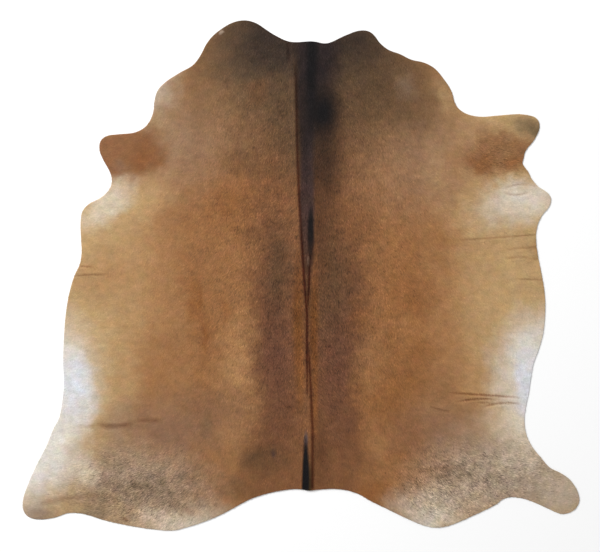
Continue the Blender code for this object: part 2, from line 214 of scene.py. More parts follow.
# Soft-edged patches of other hair, painted one over the other: "long" and "wide" are half sizes,
# "strength" is how much of the hair below the middle hides, "turn" tilts the long axis clockwise
# from the backbone's direction, in degrees, and "fade" is the share of the patch over which it
# dies out.
Patch = namedtuple(
    "Patch", "hair across along long wide strength turn fade", defaults=(1.0, 0, 1.0)
)
PATCHES = (
    # neck and shoulders
    Patch("ash", -560, 1400, 340, 420, 0.5),
    Patch("ash", 480, 1350, 400, 420, 0.4),
    Patch("smoke", 0, 1760, 560, 860),
    Patch("umber", -120, 1840, 420, 420),
    Patch("umber", 180, 1800, 420, 380, 0.9),
    Patch("bark", 330, 1540, 260, 420, 0.65),
    Patch("umber", -200, 1800, 190, 190, 0.45),
    Patch("bark", -40, 1500, 390, 200, 0.85),
    Patch("umber", -110, 1725, 140, 120, 0.9),
    Patch("bark", -268, 1360, 130, 120, 0.5),
    Patch("copper", -190, 1590, 80, 80, 0.3),
    Patch("caramel", 540, 1010, 150, 130, 0.8),
    Patch("oat", -600, 1590, 170, 120, 0.9, turn=24),
    Patch("oat", -346, 1826, 14, 16, 0.6, turn=40),
    Patch("sand", -588, 1476, 110, 110, 0.25),
    Patch("sand", 560, 1600, 130, 80, 0.5, turn=-30),
    Patch("bark", 190, 1480, 120, 100, 0.35),
    Patch("ash", 380, 1600, 80, 80, 0.3),
    Patch("sand", 530, 1290, 150, 90, 0.2),
    # saddle
    Patch("plum", -130, 560, 620, 160),
    Patch("plum", 122, 540, 620, 162),
    Patch("bark", -120, 860, 260, 100, 0.7),
    Patch("bark", 84, 830, 330, 140, 0.7),
    Patch("honey", -285, 420, 440, 130),
    Patch("honey", 250, 420, 420, 90, 0.35),
    Patch("rust", -450, 700, 320, 80, 0.5, turn=-4),
    Patch("rust", -436, 780, 90, 36, 0.7, turn=6),
    Patch("rust", -442, 600, 90, 24, 0.7, turn=-8),
    Patch("rust", -350, 725, 60, 34, 0.5, turn=-20),
    Patch("plum", -330, 310, 140, 160, 0.4),
    Patch("plum", 532, 400, 90, 110, 0.25),
    Patch("rust", -300, 1180, 260, 150, 0.5),
    Patch("caramel", -600, 460, 300, 130, 0.7),
    Patch("honey", -800, 860, 200, 180, 0.7),
    Patch("rust", 340, 300, 240, 220, 0.6),
    Patch("rust", 390, 660, 480, 170, 0.5),
    Patch("sand", 700, 780, 520, 170, 0.5),
    Patch("honey", 490, 640, 100, 120, 0.5),
    Patch("honey", 372, 640, 120, 80, 0.3),
    Patch("rust", 915, 960, 60, 70, 0.4),
    Patch("rust", 212, 690, 120, 70, 0.35),
    Patch("copper", 212, 420, 160, 60, 0.25),
    Patch("sand", 692, 1040, 130, 70, 0.3),
    Patch("cream", 860, 740, 100, 60, 0.25),
    # forelegs
    Patch("russet", -720, 1360, 150, 210, 1.0, fade=0.45),
    Patch("rust", -640, 1350, 90, 80, 0.6),
    Patch("clay", -736, 1315, 50, 60, 0.7),
    Patch("russet", 766, 1330, 128, 225, 0.85, fade=0.7),
    Patch("rust", 720, 1300, 50, 70, 0.5),
    Patch("rust", 830, 1300, 60, 60, 0.6),
    Patch("sand", 740, 1480, 50, 140, 0.9),
    Patch("smoke", 893, 1448, 80, 96, 0.9),
    Patch("smoke", 850, 1470, 60, 90, 0.35),
    Patch("russet", 850, 1350, 60, 70, 0.5),
    Patch("sand", -700, 1130, 260, 150, 1.0, turn=50),
    Patch("cream", -805, 1145, 210, 110, 1.0, turn=50, fade=0.8),
    Patch("sand", 780, 1130, 150, 300),
    Patch("oat", 780, 1130, 120, 200, 0.6),
    Patch("cream", 890, 1148, 118, 240, 1.0, fade=0.7),
    Patch("milk", 860, 1176, 70, 130, 0.5, turn=6),
    # rump and hind legs
    Patch("clay", -560, 250, 200, 400, 0.9),
    Patch("clay", 520, 220, 200, 330, 0.8),
    Patch("ash", -680, 20, 230, 460, 1.0, fade=0.8),
    Patch("dove", 790, 40, 270, 500, 1.0, fade=0.8),
    Patch("smoke", -640, 10, 70, 260, 0.45, turn=-8),
    Patch("smoke", 590, 45, 60, 200, 0.5, turn=5),
    Patch("oat", -940, 70, 140, 160),
    Patch("cream", -905, 70, 110, 110, 0.75),
    Patch("smoke", -1080, -85, 70, 130, 0.6),
    Patch("oat", -480, -150, 140, 340, 1.0, fade=0.8),
    Patch("cream", -500, -170, 90, 200, 0.8),
    Patch("oat", 520, -90, 150, 260, 1.0, fade=0.9),
    Patch("cream", 540, -130, 90, 160, 0.7),
    Patch("oat", 870, 130, 160, 160, 0.9, turn=-30),
    Patch("oat", 1010, 10, 130, 140, 0.9),
    Patch("ash", -1090, -90, 90, 170),
    Patch("ash", -860, -110, 60, 160, 0.7),
    Patch("cream", -560, -110, 60, 180, 0.5),
    Patch("smoke", -860, -95, 60, 130, 0.4),
    Patch("bark", -285, 15, 90, 120, 0.45),
    Patch("oat", 400, -90, 90, 120, 0.5),
    Patch("oat", 1030, 0, 150, 170, 0.5),
    Patch("rust", 372, 160, 80, 80, 0.3),
    Patch("bark", -180, 130, 90, 140, 0.7),
    Patch("smoke", -380, 260, 60, 60, 0.4),
    Patch("rust", 250, -20, 90, 120, 0.6),
    Patch("clay", -560, 170, 110, 170, 0.4),
    Patch("milk", 500, -130, 60, 120, 0.3),
    Patch("smoke", -1070, 30, 80, 90, 0.25),
    Patch("ash", 690, 150, 80, 100, 0.4),
    Patch("ash", -748, 250, 190, 80, 0.4),
    Patch("caramel", 212, 36, 80, 80, 0.35),
    Patch("rust", 440, 230, 90, 110, 0.3),
    Patch("honey", 272, 190, 110, 50, 0.35),
    # belly
    Patch("milk", -990, 440, 360, 230),
    Patch("frost", -945, 390, 210, 130),
    Patch("milk", -1040, 160, 300, 200, 1.0, turn=26, fade=0.8),
    Patch("cream", 850, 270, 200, 220, 0.9),
    Patch("milk", 935, 460, 330, 260, 1.0, fade=0.8),
    Patch("frost", 880, 440, 190, 110),
    Patch("milk", 870, 535, 120, 90, 0.5),
    Patch("cream", 815, 420, 180, 120, 0.5),
    Patch("honey", 690, 390, 90, 70, 0.3),
    Patch("cream", 806, 440, 170, 70, 0.5, fade=0.8),
    Patch("frost", 872, 440, 160, 64, 0.7, fade=0.7),
)

# The same, close to the backbone, where the edges run straighter
BACK_STRIPES = (
    Patch("peat", 54, 1300, 390, 130),
    Patch("peat", 80, 1460, 420, 130, 0.55),
    Patch("chestnut", 50, 1050, 330, 60, 0.8),
    Patch("peat", 58, 1010, 240, 70, 0.35),
    Patch("dusk", -1, 1130, 420, 40, 0.9, fade=0.5),
    Patch("pitch", -2, 1560, 420, 54, 0.9, fade=0.6),
    Patch("pitch", 40, 1740, 300, 130, 1.0, fade=0.7),
    Patch("soot", 18, 1710, 330, 38, 1.0, fade=0.8),
    Patch("soot", 62, 1500, 160, 110, 1.0, fade=0.9),
    Patch("soot", 15, 1000, 175, 19, 0.95, fade=0.6),
    Patch("dove", 6, 905, 24, 9, 0.5),
    Patch("chestnut", -20, 700, 420, 60, 0.9, fade=0.9),
    Patch("copper", -34, 650, 400, 34, 0.85, fade=0.9),
    Patch("copper", 30, 640, 420, 28, 0.8, fade=0.9),
    Patch("chestnut", 60, 860, 150, 60, 0.45),
    Patch("rust", -22, 450, 200, 22, 0.5, fade=0.9),
    Patch("rust", 34, 330, 200, 18, 0.6, fade=0.9),
    Patch("chestnut", 56, 150, 190, 60, 0.9),
    Patch("walnut", 10, 270, 130, 14, 0.7, fade=0.6),
    Patch("olive", 6, 20, 170, 26, 1.0, fade=0.9),
    # painted bluish highlight on the black hair at the top of the tail's stripe
    Patch("blue_highlight", -6, 200, 56, 13, 0.6, fade=0.9),
    Patch("soot", -7, 30, 235, 19, 1.0, fade=0.5),
    Patch("dusk", -134, 145, 28, 16, 0.7),
)

# Where dark and pale hairs are mixed, and how much the locks there differ
Mixed = namedtuple("Mixed", "across along long wide contrast")
EVEN_CONTRAST = 0.035
MIXED_HAIR = (
    Mixed(-640, 0, 260, 430, 0.23), Mixed(580, 20, 250, 370, 0.27),
    Mixed(880, 80, 240, 260, 0.1), Mixed(760, 1330, 150, 220, 0.1),
    Mixed(0, 900, 1300, 770, 0.13), Mixed(0, 560, 620, 320, 0.05),
    Mixed(0, 1650, 500, 500, 0.08),
)
FOLD_SHADE = (0.3, 0.1, 0.02, 1)  # painted shade: what the darkest crease leaves of the hair's colour
TINTS = (0.2, 0.14, 0.3)  # how much the hair's red, green and blue drift from spot to spot
TINT_SIZE = 38

# How far the patches' edges are pushed about by small and by broad clouds, across and along
Wander = namedtuple("Wander", "small broad")
LOOSE = Wander((100, 110, 0), (150, 150, 0))
TIGHT = Wander((6, 30, 0), (16, 60, 0))
SMALL_CLOUD = 75
BROAD_CLOUD = 420

# Clouds in the coat's tone: their size, and how much they change it
Mottle = namedtuple("Mottle", "size strength")
CLOUDS = Mottle(140, 0.3)
WISPS = Mottle(20, 0.4)
GRAIN = Mottle(6, 0.4)
WISP_SHAPE = (0.6, 1, 0)  # the wisps are longer across than along

# How the locks' tone varies where they differ: lock by lock, by tufts, and within a lock
LOCK_TONE = 1.6
SMALL_TUFTS = Mottle(6, 0.5)
BROAD_TUFTS = Mottle(20, 0.95)
CORNER_TONE = 0.6
TONE_LIMITS = (0.35, 1.8)

# The camera and the lights
VIEW_MIDDLE = Place(-28.0, 852.0)  # what the middle of the picture looks at
VIEW_WIDTH = 2.4  # of the floor, across the picture
LENS = 80
SENSOR = 36
FLOOR_SIZE = 40
FLOOR_DROP = 0.4 * MM
BACKDROP_STRENGTH = 0.55
KEY_PLACE = (-6.8, 6.0, 7.2)
KEY_SIZE = 4.4
KEY_POWER = 1300


def on_hide(points):
    """World positions as (across, along) in millimetres."""
    return (np.asarray(points)[:, :2] - (BACKBONE_X, TAIL_ROOT_Y)) / MM


def in_world(places):
    """Places in millimetres on the hide as world positions."""
    return np.atleast_2d(np.array(places, float)) * MM + (BACKBONE_X, TAIL_ROOT_Y)


def ease(share):
    """Rises smoothly from 0 to 1 as the share does, and stays there."""
    share = np.clip(share, 0, 1)
    return share * share * (3 - 2 * share)


def placed(name, data):
    """A new object with this data, in the scene."""
    piece = bpy.data.objects.new(name, data)
    bpy.context.scene.collection.objects.link(piece)
    return piece


class Link:
    """An output socket to do sums with: each sum adds a Math node."""

    def __init__(self, recipe, socket):
        self.recipe = recipe
        self.socket = socket

    def sum(self, operation, first, second):
        return self.recipe.add("ShaderNodeMath", {"operation": operation}, {0: first, 1: second})

    def __add__(self, other):
        return self.sum("ADD", self, other)

    __radd__ = __add__

    def __sub__(self, other):
        return self.sum("SUBTRACT", self, other)

    def __rsub__(self, other):
        return self.sum("SUBTRACT", other, self)

    def __mul__(self, other):
        return self.sum("MULTIPLY", self, other)

    __rmul__ = __mul__


class Recipe:
    """A material's nodes, added one by one."""

    def __init__(self, name):
        self.material = bpy.data.materials.new(name)
        self.material.use_nodes = True
        self.nodes = self.material.node_tree.nodes
        self.links = self.material.node_tree.links
        self.shader = self.nodes["Principled BSDF"]

    def add(self, kind, settings=None, sockets=None, output=0):
        """A node of this kind: its settings, then its sockets' values or links."""
        node = self.nodes.new(kind)
        for name, value in (settings or {}).items():
            setattr(node, name, value)
        self.feed(node, sockets or {})
        return Link(self, node.outputs[output])

    def feed(self, node, sockets):
        for name, value in sockets.items():
            if isinstance(value, Link):
                self.links.new(value.socket, node.inputs[name])
            else:
                node.inputs[name].default_value = value

    def vector(self, operation, first, second):
        """A sum of vectors or colours."""
        return self.add("ShaderNodeVectorMath", {"operation": operation}, {0: first, 1: second})

    def scaled(self, vector, factor):
        sockets = {"Vector": vector, "Scale": factor}
        return self.add("ShaderNodeVectorMath", {"operation": "SCALE"}, sockets)

    def blended(self, factor, under, over):
        """One colour over another."""
        settings = {"data_type": "RGBA", "clamp_factor": True}
        return self.add("ShaderNodeMix", settings, {0: factor, 6: under, 7: over}, output=2)

    def noise(self, vector, size, detail=2.0, output=0):
        """Cloudy noise whose clouds are about this size, in the vector's units."""
        sockets = {"Vector": vector, "Scale": 1 / size, "Detail": detail}
        return self.add("ShaderNodeTexNoise", {}, sockets, output)

    def finish(self, **sockets):
        self.feed(self.shader, {name.replace("_", " "): value for name, value in sockets.items()})
        return self.material


def linear(hair):
    """A hair colour of the table as linear light."""
    shares = np.array(HAIR[hair]) / 255
    light = np.where(shares <= 0.04045, shares / 12.92, ((shares + 0.055) / 1.055) ** 2.4)
    return (*(float(c) for c in light), 1.0)


def place_on_hide(recipe):
    """The shaded point as (across, along, 0) in millimetres."""
    here = recipe.add("ShaderNodeTexCoord", output=3)
    sockets = {"Vector": here, "Location": (BACKBONE_X, TAIL_ROOT_Y, 0), "Scale": (MM, MM, 1)}
    moved = recipe.add("ShaderNodeMapping", {"vector_type": "TEXTURE"}, sockets)
    return recipe.vector("MULTIPLY", moved, (1, 1, 0))


def drift(recipe, place, size, detail):
    """Coloured clouds of this size that vary evenly around nought."""
    clouds = recipe.noise(place, size, detail, output=1)
    return recipe.vector("SUBTRACT", clouds, (0.5, 0.5, 0.5))


def wandering(recipe, place, wander):
    """The place again, pushed about by broad and small clouds, so that edges wander."""
    broad = drift(recipe, place, BROAD_CLOUD, 1.0)
    small = drift(recipe, place, SMALL_CLOUD, 3.0)
    pushed = recipe.vector("ADD", place, recipe.vector("MULTIPLY", broad, wander.broad))
    return recipe.vector("ADD", pushed, recipe.vector("MULTIPLY", small, wander.small))


def back_to_belly(recipe, place):
    """The coat's colour by its distance from the backbone."""
    parts = recipe.add("ShaderNodeSeparateXYZ", {}, {"Vector": place})
    aside = recipe.add("ShaderNodeMath", {"operation": "ABSOLUTE"}, {0: parts})
    widest = BACK_TO_BELLY[-1].across
    share = aside * (1 / widest)
    ramp = recipe.nodes.new("ShaderNodeValToRGB")
    stops = ramp.color_ramp.elements
    for stripe in BACK_TO_BELLY[2:]:
        stops.new(stripe.across / widest)
    for stop, stripe in zip(stops, BACK_TO_BELLY):
        stop.position = stripe.across / widest
        stop.color = linear(stripe.hair)
    recipe.feed(ramp, {"Fac": share})
    return Link(recipe, ramp.outputs["Color"])


def painted(recipe, colour, place, patches):
    """The colour with the patches over it."""
    for patch in patches:
        sockets = {
            "Vector": place,
            "Location": (patch.across, patch.along, 0),
            "Rotation": (0, 0, -math.radians(patch.turn)),
            "Scale": (patch.wide, patch.long, 1),
        }
        inside = recipe.add("ShaderNodeMapping", {"vector_type": "TEXTURE"}, sockets)
        ball = {"gradient_type": "SPHERICAL"}
        closeness = recipe.add("ShaderNodeTexGradient", ball, {"Vector": inside}, output=1)
        sockets = {"Value": closeness, 1: 0.0, 2: patch.fade, 3: 0.0, 4: patch.strength}
        mask = recipe.add("ShaderNodeMapRange", {"interpolation_type": "SMOOTHSTEP"}, sockets)
        colour = recipe.blended(mask, colour, linear(patch.hair))
    return colour


def markings(recipe):
    """The whole pattern of the coat, mottled at several sizes."""
    place = place_on_hide(recipe)
    loose = wandering(recipe, place, LOOSE)
    tight = wandering(recipe, place, TIGHT)
    colour = painted(recipe, back_to_belly(recipe, loose), loose, PATCHES)
    colour = painted(recipe, colour, tight, BACK_STRIPES)
    tint = recipe.vector("MULTIPLY", drift(recipe, place, TINT_SIZE, 3.0), TINTS)
    tint = recipe.vector("ADD", tint, (1, 1, 1))
    colour = recipe.vector("MULTIPLY", colour, tint)
    clouds = recipe.noise(place, CLOUDS.size, 3.0) - 0.5
    brushed = recipe.vector("MULTIPLY", place, WISP_SHAPE)
    wisps = recipe.noise(brushed, WISPS.size, 3.0) - 0.5
    grain = recipe.noise(place, GRAIN.size, 2.0) - 0.5
    tone = 1.0 + clouds * CLOUDS.strength + wisps * WISPS.strength + grain * GRAIN.strength
    return recipe.scaled(colour, tone)


def shaded_in_folds(recipe, colour):
    """The colour with the warm painted shade of the creases and lines over it."""
    fold = recipe.add("ShaderNodeAttribute", {"attribute_name": "fold"}, output=2)
    return recipe.vector("MULTIPLY", colour, recipe.blended(fold, (1, 1, 1, 1), FOLD_SHADE))


def lying_hair():
    """The coat: the markings, each lock with its own tone, and a soft gloss along the hair."""
    recipe = Recipe("lying_hair")
    tone = recipe.add("ShaderNodeAttribute", {"attribute_name": "tone"}, output=2)
    strand = recipe.add("ShaderNodeAttribute", {"attribute_name": "strand"}, output=2)
    in_a_line = {"noise_dimensions": "1D"}
    streaks = recipe.add("ShaderNodeTexNoise", in_a_line, {"W": strand, "Scale": 1.4})
    # the markings, darkened by the painted shade of the creases and lines
    colour = shaded_in_folds(recipe, markings(recipe))
    colour = recipe.scaled(colour, tone * (0.92 + 0.16 * streaks))
    sockets = {"Strength": 0.25, "Distance": 0.4 * MM, "Height": streaks}
    bump = recipe.add("ShaderNodeBump", {}, sockets)
    return recipe.finish(
        Base_Color=colour, Roughness=0.62 - 0.2 * streaks, Normal=bump,
        Specular_IOR_Level=0.14,
    )


def hair_ground():
    """The roots of the hair, which show between the locks."""
    recipe = Recipe("hair_ground")
    place = place_on_hide(recipe)
    fuzz = recipe.noise(recipe.vector("MULTIPLY", place, (1, 0.3, 0)), 1.6, 2.0)
    bump = recipe.add("ShaderNodeBump", {}, {"Strength": 0.5, "Distance": 0.6 * MM, "Height": fuzz})
    # the markings, darkened by the painted shade of the creases and lines
    colour = recipe.scaled(shaded_in_folds(recipe, markings(recipe)), 0.86 + 0.2 * fuzz)
    return recipe.finish(
        Base_Color=colour, Roughness=0.8 - 0.1 * fuzz, Normal=bump, Specular_IOR_Level=0.1
    )


def flesh_side():
    """The suede underside and the cut edge: pale tanned leather with a loose nap."""
    recipe = Recipe("flesh_side")
    place = place_on_hide(recipe)
    clouds = recipe.noise(place, 90, 4.0)
    nap = recipe.noise(place, 1.8, 3.0)
    warm = (0.56, 0.42, 0.29, 1)
    pale = (0.70, 0.61, 0.49, 1)
    colour = recipe.scaled(recipe.blended(clouds, warm, pale), 0.8 + 0.35 * nap)
    bump = recipe.add("ShaderNodeBump", {}, {"Strength": 0.6, "Distance": 0.5 * MM, "Height": nap})
    return recipe.finish(
        Base_Color=colour, Roughness=0.96 - 0.1 * nap, Normal=bump, Specular_IOR_Level=0.15,
        Sheen_Weight=0.2, Sheen_Roughness=0.6,
    )


def merged_copy(node):
    """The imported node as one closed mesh, its split corners joined again."""
    solid = bmesh.new()
    solid.from_mesh(node.data)
    bmesh.ops.remove_doubles(solid, verts=solid.verts, dist=SAME_POINT)
    solid.normal_update()
    return solid


def widest_ring(solid):
    """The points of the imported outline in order: where faces that look up meet those that look
    down."""
    beside = {}
    for edge in solid.edges:
        first, second = edge.link_faces
        if (first.normal.z > 0) != (second.normal.z > 0):
            one, other = edge.verts
            beside.setdefault(one, []).append(other)
            beside.setdefault(other, []).append(one)
    start = min(beside, key=lambda vertex: (vertex.co.y, vertex.co.x))
    ring = [start]
    ahead = min(beside[start], key=lambda vertex: vertex.co.x)
    while ahead is not start:
        ring.append(ahead)
        ahead = next(v for v in beside[ahead] if v is not ring[-2])
    return np.array([vertex.co[:2] for vertex in ring])


def smooth_loop(knots, parts=12):
    """A closed smooth curve through the knots."""
    share = np.linspace(0, 1, parts, endpoint=False)[None, :, None]
    before, here, after, beyond = (np.roll(knots, -k, axis=0)[:, None, :] for k in (-1, 0, 1, 2))
    slope_here = (after - before) / 2
    slope_after = (beyond - here) / 2
    curve = (
        here * (1 - 3 * share ** 2 + 2 * share ** 3)
        + after * (3 * share ** 2 - 2 * share ** 3)
        + slope_here * (share - 2 * share ** 2 + share ** 3)
        + slope_after * (share ** 3 - share ** 2)
    )
    return curve.reshape(-1, 2)


def evenly_spaced(loop, step):
    """The closed loop again, with points about one step apart."""
    closed = np.vstack([loop, loop[:1]])
    run = np.concatenate([[0], np.cumsum(np.linalg.norm(np.diff(closed, axis=0), axis=1))])
    at = np.linspace(0, run[-1], round(run[-1] / step), endpoint=False)
    return np.column_stack([np.interp(at, run, closed[:, k]) for k in (0, 1)])


def inward(loop):
    """Unit vectors that point into the hide, one for each point of a clockwise loop."""
    ahead = np.roll(loop, -1, axis=0) - np.roll(loop, 1, axis=0)
    ahead /= np.linalg.norm(ahead, axis=1)[:, None]
    return np.column_stack([ahead[:, 1], -ahead[:, 0]])


def signed_area(loop):
    """The area inside a closed loop; less than nothing if the loop runs clockwise."""
    after = np.roll(loop, -1, axis=0)
    return (loop[:, 0] * after[:, 1] - after[:, 0] * loop[:, 1]).sum() / 2


def skin_area(loop):
    """The area inside a closed loop."""
    return abs(signed_area(loop))


def clockwise(loop):
    """The loop, turned round if it runs the other way."""
    return loop[::-1] if signed_area(loop) > 0 else loop


def lattice(loop, step):
    """A triangular lattice of points over the loop's bounding box."""
    low, high = loop.min(axis=0), loop.max(axis=0)
    rows = []
    for n, y in enumerate(np.arange(low[1], high[1], step * math.sqrt(3) / 2)):
        x = np.arange(low[0] + (n % 2) * step / 2, high[0], step)
        rows.append(np.column_stack([x, np.full(len(x), y)]))
    return np.vstack(rows)


class Edge:
    """The cut edge of the leather, for asking how far inside it a point lies."""

    def __init__(self, loop):
        fine = evenly_spaced(loop, FINE_STEP)
        self.fine = fine
        self.into = inward(fine)
        self.tree = KDTree(len(fine))
        for number, (x, y) in enumerate(fine):
            self.tree.insert((x, y, 0), number)
        self.tree.balance()

    def depth(self, points):
        """How far inside the cut these points lie; less than nothing outside it."""
        nearest = np.array([self.tree.find((x, y, 0))[1] for x, y in points])
        offset = points - self.fine[nearest]
        sign = np.sign((offset * self.into[nearest]).sum(axis=1))
        return sign * np.linalg.norm(offset, axis=1)


def crease_line(crease):
    """A crease's start, unit direction, unit normal and length, in world metres."""
    start, end = in_world([crease.start, crease.end])
    run = end - start
    length = np.linalg.norm(run)
    run /= length
    return start, run, np.array([-run[1], run[0]]), length


def bowed(share, crease):
    """How far the crease's bow takes it to the left at these shares of its length."""
    return 4 * share * (1 - share) * crease.bow * MM


def crease_share(points, crease):
    """How deep in this crease the points lie, from 0 outside to 1 along its bottom."""
    start, run, side, length = crease_line(crease)
    share = (points - start) @ run / length
    offset = (points - start) @ side - bowed(share, crease)
    fade = ease((1 - np.abs(2 * share - 1)) / CREASE_RUNOUT)
    return fade * (1 - ease(np.abs(offset) / (crease.half_width * MM)))


def line_shade(points, line):
    """How much painted shade one of the long fold's lines lays on these points, from 0 to 1."""
    along, *rows = (np.array(column, float) for column in zip(*line))
    place = on_hide(points)
    across, half_width, shade = (np.interp(place[:, 1], along, row) for row in rows)
    inside = (place[:, 1] >= along[0]) & (place[:, 1] <= along[-1])
    return inside * shade * (1 - ease(np.abs(place[:, 0] - across) / half_width))


def back_lines(points):
    """The painted shade of the darker of the long fold's two lines at these points."""
    return np.maximum(line_shade(points, LEFT_LINE), line_shade(points, RIGHT_LINE))


def groove(points):
    """How far the lines and creases press the skin in."""
    depth = back_lines(points) * LINE_GROOVE
    for crease in CREASES:
        depth = np.maximum(depth, crease_share(points, crease) * crease.depth * MM)
    return depth


def fold_shade(points):
    """The painted shade of the lines and creases: 0 in the open, 1 at the darkest."""
    total = back_lines(points)
    for crease in CREASES:
        total = np.maximum(total, crease_share(points, crease) * crease.shade)
    return total


def crease_points():
    """Rows of points along each crease and along the two lines of the long fold."""
    rows = []
    for crease in CREASES:
        start, run, side, length = crease_line(crease)
        share = np.linspace(0, 1, max(4, round(length / CREASE_STEP)))
        bow = bowed(share, crease)
        middle = start + np.outer(share * length, run) + np.outer(bow, side)
        rows += [middle + row * crease.half_width * MM * side for row in CREASE_ROWS]
    for line in (LEFT_LINE, RIGHT_LINE):
        known_along, known_across, *_ = zip(*line)
        along = np.arange(known_along[0], known_along[-1], CREASE_STEP / MM)
        across = np.interp(along, known_along, known_across)
        rows += [in_world(np.column_stack([across + row, along])) for row in LINE_ROWS]
    return rows


def clear_points(points, taken, gap):
    """The points that stay this far from all points taken and from each other."""
    kept = []
    cells = {}

    def cell(x, y):
        return math.floor(x / gap), math.floor(y / gap)

    def crowded(x, y):
        column, row = cell(x, y)
        for i in (column - 1, column, column + 1):
            for j in (row - 1, row, row + 1):
                for u, v in cells.get((i, j), ()):
                    if (u - x) ** 2 + (v - y) ** 2 < gap * gap:
                        return True
        return False

    for x, y in taken:
        cells.setdefault(cell(x, y), []).append((x, y))
    for x, y in points:
        if not crowded(x, y):
            cells.setdefault(cell(x, y), []).append((x, y))
            kept.append((x, y))
    return np.array(kept).reshape(-1, 2)


def laid_out_points(loop, edge):
    """All points of the skin inside its innermost rim row."""
    creases = np.vstack(crease_points())
    creases = creases[edge.depth(creases) > CREASE_INSET]
    creases = clear_points(creases, loop, CREASE_GAP)
    field = lattice(loop, FIELD_STEP)
    field = field[edge.depth(field) > FIELD_INSET]
    field = clear_points(field, np.vstack([loop, creases]), FIELD_GAP)
    return np.vstack([creases, field])


def triangles_over(loop, points):
    """Triangles over the loop and the points in it, as numbers: the loop's first."""
    both = np.vstack([loop, points])
    ring = [(i, (i + 1) % len(loop)) for i in range(len(loop))]
    laid, _, faces, origin, _, _ = delaunay_2d_cdt(
        [Vector(p) for p in both], ring, [list(range(len(loop)))], 1, 1e-7
    )
    if len(laid) != len(both):
        raise ValueError("the outline crosses itself")
    number = np.array([sources[0] for sources in origin])
    return number[np.array(faces)]


def heights(tree, points, from_above):
    """Where a plumb line through each point first meets the surface, from above or below."""
    start, way = (1.0, -1.0) if from_above else (-1.0, 1.0)
    found = np.full(len(points), np.nan)
    for number, (x, y) in enumerate(points):
        hit = tree.ray_cast((x, y, start), (0, 0, way))[0]
        if hit is not None:
            found[number] = hit.z
    return found


def smoothed(values, triangles, rounds, firm):
    """The values evened out over the mesh, except where it is firm."""
    pairs = np.vstack([triangles[:, [0, 1]], triangles[:, [1, 2]], triangles[:, [2, 0]]])
    one = np.concatenate([pairs[:, 0], pairs[:, 1]])
    other = np.concatenate([pairs[:, 1], pairs[:, 0]])
    count = np.bincount(one, minlength=len(values))
    for _ in range(rounds):
        mean = np.bincount(one, values[other], minlength=len(values)) / count
        values = firm * values + (1 - firm) * (values + mean) / 2
    return values


def ripples(points):
    """Broad shallow waves, as of a hide that has not quite settled."""
    across, along = on_hide(points).T
    wave = np.sin(across / 97 + 1.3 * np.sin(along / 210)) * np.sin(along / 83 + 0.7)
    wave = wave + 0.6 * np.sin(across / 41 + along / 160) * np.sin(along / 57 + across / 230)
    return wave


